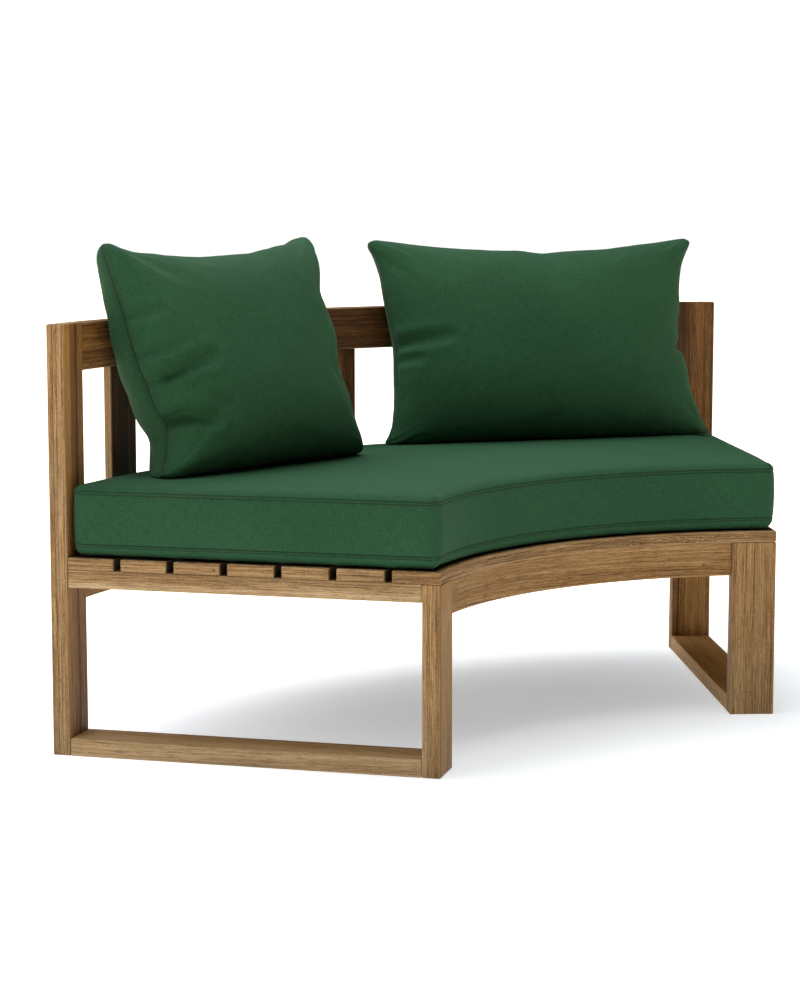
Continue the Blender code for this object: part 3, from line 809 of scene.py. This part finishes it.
def add_stitch(shape, spot, along, out):
    """One short stitch of thread at a spot of its line."""
    beside = along.cross(out).normalized()
    sections = []
    for place, size in stitch_sections:
        middle = spot + along * (place * stitch_length) + out * (stitch_thickness * (size - 0.75))
        half_width = beside * (stitch_thickness * size)
        half_height = out * (stitch_thickness * size) * 0.8
        sections.append([shape.verts.new(middle + way)
                         for way in (half_width, half_height, -half_width, -half_height)])
    for first, second in zip(sections, sections[1:]):
        for corner in range(4):
            after = (corner + 1) % 4
            shape.faces.new((first[corner], first[after], second[after], second[corner]))
    shape.faces.new(sections[0][::-1])
    shape.faces.new(sections[-1])


def stitches(name, points, normals):
    """One mesh of thread stitches along closed lines of points."""
    shape = bmesh.new()
    for line, outwards in zip(points, normals):
        closed = line + line[:1]
        ways = outwards + outwards[:1]
        lengths = running_lengths(closed)
        count = round(lengths[-1] / stitch_pitch)
        segment = 0
        for number in range(count):
            middle = (number + 0.5) * lengths[-1] / count
            while lengths[segment + 1] < middle:
                segment += 1
            share = (middle - lengths[segment]) / (lengths[segment + 1] - lengths[segment])
            add_stitch(shape, closed[segment].lerp(closed[segment + 1], share),
                       (closed[segment + 1] - closed[segment]).normalized(),
                       ways[segment].lerp(ways[segment + 1], share).normalized())
    bmesh.ops.recalc_face_normals(shape, faces=shape.faces)
    mesh = finished_mesh(name, shape)
    mesh.shade_smooth()
    return add_piece(name, mesh)


# Pillows: corner to corner size, turns, depth, fullness and sag of both halves, and how far each edge
# draws in at places along it, as in the part's own solids. A crease has its start, end, depth and width,
# and a wave of the cloth its frequency, seed and depth.
pillow_cells = (96, 100)
pillow_seam_thickness = 0.004
pillow_seam_support = 1.5e-5
pillow_groove_depth = 0.0035
pillow_corner_radius = 0.030
pillow_seam_wander = 0.0016
pillow_flat_depth = 0.012
pillow_flat_softness = 0.003
pillow_fold_start = 0.014
pillow_waves = ((9, 0, 0.0035), (26, 5, 0.0011))
square_pillow_form = {
    "size": (0.5235, 0.415), "turns": (12.5, 18.5, 0.4),
    "front": (0.089, 2.8, 0.14), "back": (0.098, 3.3, 0.2),
    "left": ((-1, 0), (-0.88, 0.020), (-0.74, 0.036), (-0.62, 0.046), (-0.54, 0.046), (-0.4, 0.034),
             (-0.25, 0.027), (0, 0.017), (0.25, 0.0135), (0.5, 0.0125), (0.75, 0.0075), (1, 0)),
    "right": ((-1, 0), (-0.88, 0.0195), (-0.7, 0.0325), (-0.5, 0.0370), (-0.25, 0.0425), (0, 0.031),
              (0.3, 0.0345), (0.43, 0.0355), (0.6, 0.017), (0.75, 0.007), (1, 0)),
    "top": ((-1, 0), (-0.87, 0.0205), (-0.7, 0.0275), (-0.35, 0.0358), (0, 0.0345), (0.35, 0.033),
            (0.7, 0.0212), (1, 0)),
    "bottom": ((-1, 0), (0, 0.002), (1, 0)),
    "creases": (
        ((-0.245, 0.070), (-0.215, 0.068), 0.008, 0.008),
        ((-0.240, 0.006), (-0.212, -0.002), 0.008, 0.008),
        ((-0.224, -0.040), (-0.152, -0.022), 0.020, 0.011),
        ((-0.220, -0.064), (-0.180, -0.064), 0.008, 0.009),
        ((-0.213, -0.108), (-0.168, -0.128), 0.021, 0.010),
    ),
}
lumbar_pillow_form = {
    "size": (0.694, 0.403), "turns": (-18.9, 14.6, 0.0),
    "front": (0.083, 2.2, 0.06), "back": (0.077, 3.3, 0.2),
    "left": ((-1, 0), (-0.88, 0.018), (-0.7, 0.032), (-0.5, 0.040), (-0.25, 0.0447), (-0.05, 0.047),
             (0.25, 0.0375), (0.5, 0.031), (0.75, 0.0240), (1, 0)),
    "right": ((-1, 0), (-0.88, 0.0186), (-0.7, 0.033), (-0.5, 0.0427), (-0.25, 0.0488), (-0.07, 0.060),
              (0.25, 0.0484), (0.5, 0.0408), (0.75, 0.0290), (1, 0)),
    "top": ((-1, 0), (-0.7, 0.0131), (-0.3, 0.0246), (-0.1, 0.0265), (0.04, 0.0322), (0.18, 0.0275),
            (0.4, 0.0249), (0.75, 0.0109), (1, 0)),
    "bottom": ((-1, 0), (-0.25, 0.001), (-0.09, 0.006), (0.1, 0.001), (1, 0)),
    "creases": (
        ((-0.305, -0.008), (-0.215, 0.000), 0.014, 0.011),
        ((-0.305, -0.036), (-0.272, -0.039), 0.011, 0.009),
        ((0.285, -0.022), (0.225, -0.014), 0.008, 0.009),
    ),
}


def along_curve(points, place):
    """A smooth curve through (place, value) points."""
    count = len(points)
    segment = 0
    while segment < count - 2 and place > points[segment + 1][0]:
        segment += 1

    def slope(index):
        before, after = points[max(index - 1, 0)], points[min(index + 1, count - 1)]
        return (after[1] - before[1]) / (after[0] - before[0])

    (start, first), (end, second) = points[segment], points[segment + 1]
    span = end - start
    share = (place - start) / span
    return ((2 * share ** 3 - 3 * share ** 2 + 1) * first + (share ** 3 - 2 * share ** 2 + share) * span
            * slope(segment) + (3 * share ** 2 - 2 * share ** 3) * second
            + (share ** 3 - share ** 2) * span * slope(segment + 1))


def crease_depth(x, z, crease):
    """How far one crease draws the front panel in at a point: a valley with a low ridge on both sides."""
    start, end, depth, width = crease
    start, end, spot = Vector(start), Vector(end), Vector((x, z))
    line = end - start
    share = min(max((spot - start).dot(line) / line.length_squared, 0), 1)
    distance = (spot - start - line * share).length
    fade = 1 - 0.6 * share
    valley = math.exp(-(distance / width) ** 2)
    ridge = 0.25 * math.exp(-((distance - 1.9 * width) / width) ** 2)
    return depth * fade * (valley - ridge)


def pillow_shares(cells):
    """Places from -1 to 1 across a panel, close together near the seam, with one beside it."""
    inner = [math.sin(math.pi / 2 * (2 * step / cells - 1)) for step in range(1, cells)]
    return [-1, pillow_seam_support - 1] + inner + [1 - pillow_seam_support, 1]


def seam_wander(form, place, side):
    """How far a seam strays from its line at a place along it: sewn cloth is never quite straight."""
    spot = Vector((place * 4.5, side, form["size"][0] * 10))
    return blender_noise.noise(spot) * pillow_seam_wander * (1 - place ** 8)


def pillow_point(form, share_x, share_z, face):
    """A point of a pillow's panel in the pillow's own axes. face is -1 in front, 1 behind, 0 in the seam."""
    width, height = form["size"]
    left = -width / 2 + along_curve(form["left"], share_z) + seam_wander(form, share_z, 0)
    right = width / 2 - along_curve(form["right"], share_z) + seam_wander(form, share_z, 1)
    low = -height / 2 + along_curve(form["bottom"], share_x)
    high = height / 2 - along_curve(form["top"], share_x) + seam_wander(form, share_x, 2)
    gap_x = (right - left) * (1 - abs(share_x)) / 2
    gap_z = (high - low) * (1 - abs(share_z)) / 2
    gap_x, gap_z = round_corner(gap_x, gap_z, pillow_corner_radius)
    x = right - gap_x if share_x > 0 else left + gap_x
    z = high - gap_z if share_z > 0 else low + gap_z
    if not face:
        return Vector((x, 0, z))
    depth, fullness, sag = form["front"] if face < 0 else form["back"]
    full_x = 1 - min(abs(share_x), 1) ** fullness
    full_z = 1 - min(abs(share_z), 1) ** fullness
    plump = (full_x * full_z) ** (1 / fullness) * (1 - sag * share_z)
    half_seam = pillow_seam_thickness / 2
    return Vector((x, face * (half_seam + (depth - half_seam) * plump), z))


def panel_lengths(grid, keys):
    """Lengths along a line of a panel's vertices, from its middle."""
    lengths = running_lengths([grid[key].co for key in keys])
    return [length - lengths[-1] / 2 for length in lengths]


def build_pillow(name, form):
    """A pillow of two panels that meet in a seam: its object, the seam's vertices and those beside it.

    The weave attribute holds each corner's place on its panel, and its way to the seam along the cloth.
    """
    across, upwards = (pillow_shares(cells) for cells in pillow_cells)
    last = (len(across) - 1, len(upwards) - 1)
    shape = bmesh.new()
    weave = shape.loops.layers.float_vector.new("weave")
    rim, beside = {}, []
    for face in (-1, 1):
        grid = {}
        for column, share_x in enumerate(across):
            for row, share_z in enumerate(upwards):
                key = (column, row)
                if key in rim:
                    grid[key] = rim[key]
                elif column in (0, last[0]) or row in (0, last[1]):
                    rim[key] = grid[key] = shape.verts.new(pillow_point(form, share_x, share_z, 0))
                else:
                    grid[key] = shape.verts.new(pillow_point(form, share_x, share_z, face))
                    if column in (1, last[0] - 1) or row in (1, last[1] - 1):
                        beside.append(grid[key])
        spots = {key: [0, 0] for key in grid}
        for row in range(len(upwards)):
            keys = [(column, row) for column in range(len(across))]
            for key, place in zip(keys, panel_lengths(grid, keys)):
                spots[key][0] = place
        for column in range(len(across)):
            keys = [(column, row) for row in range(len(upwards))]
            for key, place in zip(keys, panel_lengths(grid, keys)):
                spots[key][1] = place
        for column in range(last[0]):
            for row in range(last[1]):
                keys = [(column, row), (column + 1, row), (column + 1, row + 1), (column, row + 1)]
                keys = keys if face < 0 else keys[::-1]
                made = shape.faces.new([grid[key] for key in keys])
                for corner, key in zip(made.loops, keys):
                    place = spots[key]
                    to_seam = min(spots[last[0], key[1]][0] - abs(place[0]),
                                  spots[key[0], last[1]][1] - abs(place[1]))
                    corner[weave] = (*place, to_seam)
    bmesh.ops.recalc_face_normals(shape, faces=shape.faces)
    shape.verts.index_update()
    seam = [vert.index for vert in rim.values()]
    beside = [vert.index for vert in beside]
    return add_piece(name, finished_mesh(name, shape)), seam, beside


def place_pillow(piece, form, node_name):
    """Turns the pillow, flattens it where it stands, and moves it to the place of its CAD node."""
    turn, lean, roll = (math.radians(angle) for angle in form["turns"])
    piece.data.transform(
        Matrix.Rotation(turn, 4, "Z") @ Matrix.Rotation(-lean, 4, "X") @ Matrix.Rotation(-roll, 4, "Y"))
    level = min(vert.co.z for vert in piece.data.vertices) + pillow_flat_depth
    for vert in piece.data.vertices:
        over = (vert.co.z - level) / pillow_flat_softness
        if over < 8:
            vert.co.z = level + pillow_flat_softness * math.log1p(math.exp(over))
    low, high = corners([vert.co for vert in piece.data.vertices])
    node_low, node_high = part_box(node_name)
    shift = ((node_low.x + node_high.x - low[0] - high[0]) / 2, node_high.y - high[1], node_low.z - low[2])
    piece.data.transform(Matrix.Translation(shift))


def sew_seam(piece, form, seam):
    """Draws the seam in between the two panels, less towards the corners, and keeps it sharp."""
    drawn = set(seam)
    width, height = form["size"]
    for index in seam:
        vert = piece.data.vertices[index]
        share_x, share_z = 2 * vert.co.x / width, 2 * vert.co.z / height
        pull = pillow_groove_depth * (1 - min(share_x ** 2, share_z ** 2, 0.6) / 0.6)
        if abs(share_x) > abs(share_z):
            vert.co.x -= math.copysign(pull, share_x)
        else:
            vert.co.z -= math.copysign(pull, share_z)
    creases = piece.data.attributes.new("crease_edge", "FLOAT", "EDGE")
    for edge in piece.data.edges:
        if edge.vertices[0] in drawn and edge.vertices[1] in drawn:
            creases.data[edge.index].value = 0.8


def fold_pillow(piece, form):
    """Presses the creases into the front panel, and lets both panels wave a little."""
    seed = Vector((form["size"][0] * 10, 0, 0))
    moves = []
    for vert in piece.data.vertices:
        spot = vert.co
        side = Vector((0, 3 * math.copysign(1, spot.y), 0))
        out = sum(blender_noise.noise(Vector((spot.x * often, start, spot.z * often)) + seed + side) * depth
                  for often, start, depth in pillow_waves)
        if spot.y < 0:
            out -= sum(crease_depth(spot.x, spot.z, crease) for crease in form["creases"])
        moves.append(vert.normal * (out * min(abs(spot.y) / pillow_fold_start, 1)))
    for vert, move in zip(piece.data.vertices, moves):
        vert.co += move


def cloth_noise(place, along, across):
    """The sum of two noises, one along each of the cloth's threads."""
    return maths("ADD", noise(place, (along, across, 1)), noise(place, (across, along, 1)))


def painted_stitch_shades(height):
    """For each of the boxed cushion's stitch lines, its painted shade: 1 where it draws the cloth in, fading
    to 0 beside it.
    """
    shades = []
    for line in stitch_heights:
        gap = maths("ABSOLUTE", maths("SUBTRACT", height, cushion_base + line))
        shades.append(smooth_step(gap, *stitch_shade_reach))
    return shades


def fabric_material(name, boxed, tones, streak_share):
    """Woven outdoor fabric: thread by thread weave, slubs, mottling, painted shade along the seams and a
    soft sheen.

    The weave lies on each panel as it was cut.
    """
    material, tree = new_material(name)
    place = object_place(tree)
    panel = node("Attribute", {}, tree, attribute_name="weave").outputs["Vector"]
    cloth_place = vector_maths("MULTIPLY", panel, (1, 1, 0))
    threads = axes_of(swayed(cloth_place, (60, 60, 60), (thread_waver, thread_waver, 0)))
    waves = []
    for axis in (0, 1):
        turn = maths("MULTIPLY", threads[axis], 2 * math.pi / thread_pitch)
        waves.append(maths("SINE", turn))
    weave = maths("MULTIPLY", *waves)
    slubs = cloth_noise(cloth_place, 70, 900)
    streaks = cloth_noise(cloth_place, 330, 24)
    mottle = noise(cloth_place, (420, 420, 1), roughness=0.6)
    fade = noise(place, (5, 5, 5))
    light = varied(0.5, ((weave, 0.14, 0.0), (slubs, 0.75, 1.0), (streaks, streak_share, 1.0),
                         (mottle, 1.0, 0.5), (fade, 0.25, 0.5)))
    # Painted shade in the cushion's stitch grooves, and beside and on the pillows' seams
    if boxed:
        marks = [(shade, 0.55, seam_shade_green) for shade in painted_stitch_shades(axes_of(place)["Z"])]
    else:
        to_seam = axes_of(panel)["Z"]
        marks = [(smooth_step(to_seam, *gutter_shade_reach), 0.25, seam_shade_green),
                 (smooth_step(to_seam, *seam_shade_reach), 0.55, seam_shade_green)]
    height = maths("MULTIPLY_ADD", weave, 0.35, maths("ADD", slubs, mottle))
    finish(material, height, 0.35, 0.0005, {
        "Base Color": stained(toned(light, tones), marks),
        "Roughness": maths("MULTIPLY_ADD", mottle, 0.15, 0.78), "Specular IOR Level": 0.2,
        "Sheen Weight": 0.12, "Sheen Roughness": 0.45, "Sheen Tint": srgb(*sheen_green)})
    return material


def thread_material():
    """Twisted sewing thread, a shade darker than the cloth."""
    material, tree = new_material("stitch_thread")
    twist = noise(object_place(tree), (1800, 1800, 1800))
    finish(material, twist, 0.4, 0.0002, {
        "Base Color": toned(twist, thread_tones),
        "Roughness": maths("MULTIPLY_ADD", twist, 0.3, 0.5)})
    return material


def make_cushion():
    """The seat cushion with its stitches."""
    mesh, stitch_lines = build_cushion()
    piece = add_piece("seat_cushion_cover", mesh)
    inflate(piece, sum(stitch_lines, []), pressure=1.5, growth=0.0, limit=0.0034)
    rest_flat(piece, cushion_base)
    points = [[piece.data.vertices[index].co.copy() for index in line] for line in stitch_lines]
    normals = [[piece.data.vertices[index].normal.copy() for index in line] for line in stitch_lines]
    subdivide(piece)
    piece.data.materials.append(fabric_material("cushion_fabric", True, cushion_tones, 0.15))
    thread = stitches("seat_cushion_stitches", points, normals)
    thread.data.materials.append(thread_material())
    for made in (piece, thread):
        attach(made, "seat_cushion")
    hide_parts("seat_cushion")


def make_pillow(node_name, form):
    """A loose pillow."""
    piece, seam, beside = build_pillow(node_name + "_cover", form)
    inflate(piece, seam + beside, pressure=2.0, growth=0.004, limit=0.004)
    fold_pillow(piece, form)
    sew_seam(piece, form, seam)
    place_pillow(piece, form, node_name)
    subdivide(piece)
    piece.data.materials.append(fabric_material(node_name + "_fabric", False, pillow_tones, 0.2))
    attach(piece, node_name)
    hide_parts(node_name)


bpy.context.scene.view_settings.view_transform = "Standard"
make_camera()
make_light()
make_floor()
dress_timbers()
dress_screws()
make_cushion()
make_pillow("square_pillow", square_pillow_form)
make_pillow("lumbar_pillow", lumbar_pillow_form)
